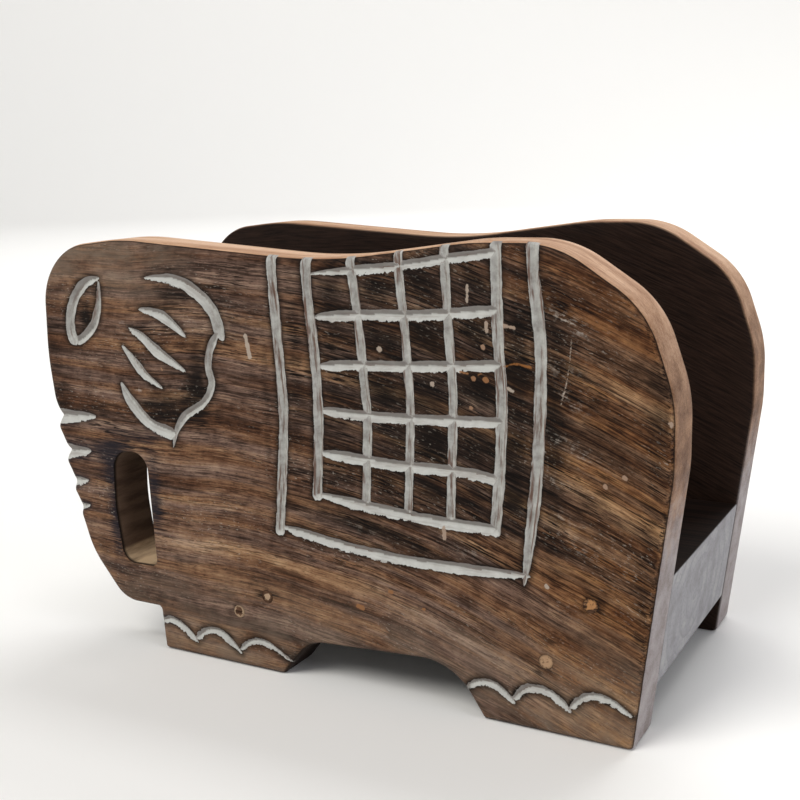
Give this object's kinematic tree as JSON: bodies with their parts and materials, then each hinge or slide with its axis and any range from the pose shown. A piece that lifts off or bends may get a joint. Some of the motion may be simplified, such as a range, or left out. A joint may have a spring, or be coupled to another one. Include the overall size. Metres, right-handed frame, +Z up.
{
  "type": "napkin holder",
  "caption": "Table napkin holder: carved elephant-shaped boards nailed to a solid base block, with an open pocket between them and lines picked out in distressed white.",
  "frame": {"origin": "on the table, under the middle of the holder", "axes": "+X from the trunk to the rump, +Y from the front board to the back board, +Z up"},
  "size_m": [0.152, 0.076, 0.097],
  "materials": {
    "board_wood": "sanded and oiled hardwood, carved lines rubbed with white paint",
    "block_wood": "bare sanded end grain, stained black-brown inside the pocket",
    "nail_steel": "plain drawn wire",
    "wood_filler": "sanded filler"
  },
  "bodies": {
    "root": {"front_panel": "board_wood", "back_panel": "board_wood", "base_block": "block_wood", "front_nails": "nail_steel", "back_nails": "nail_steel", "front_plugs": "wood_filler", "back_plugs": "wood_filler"}
  },
  "joints": []
}
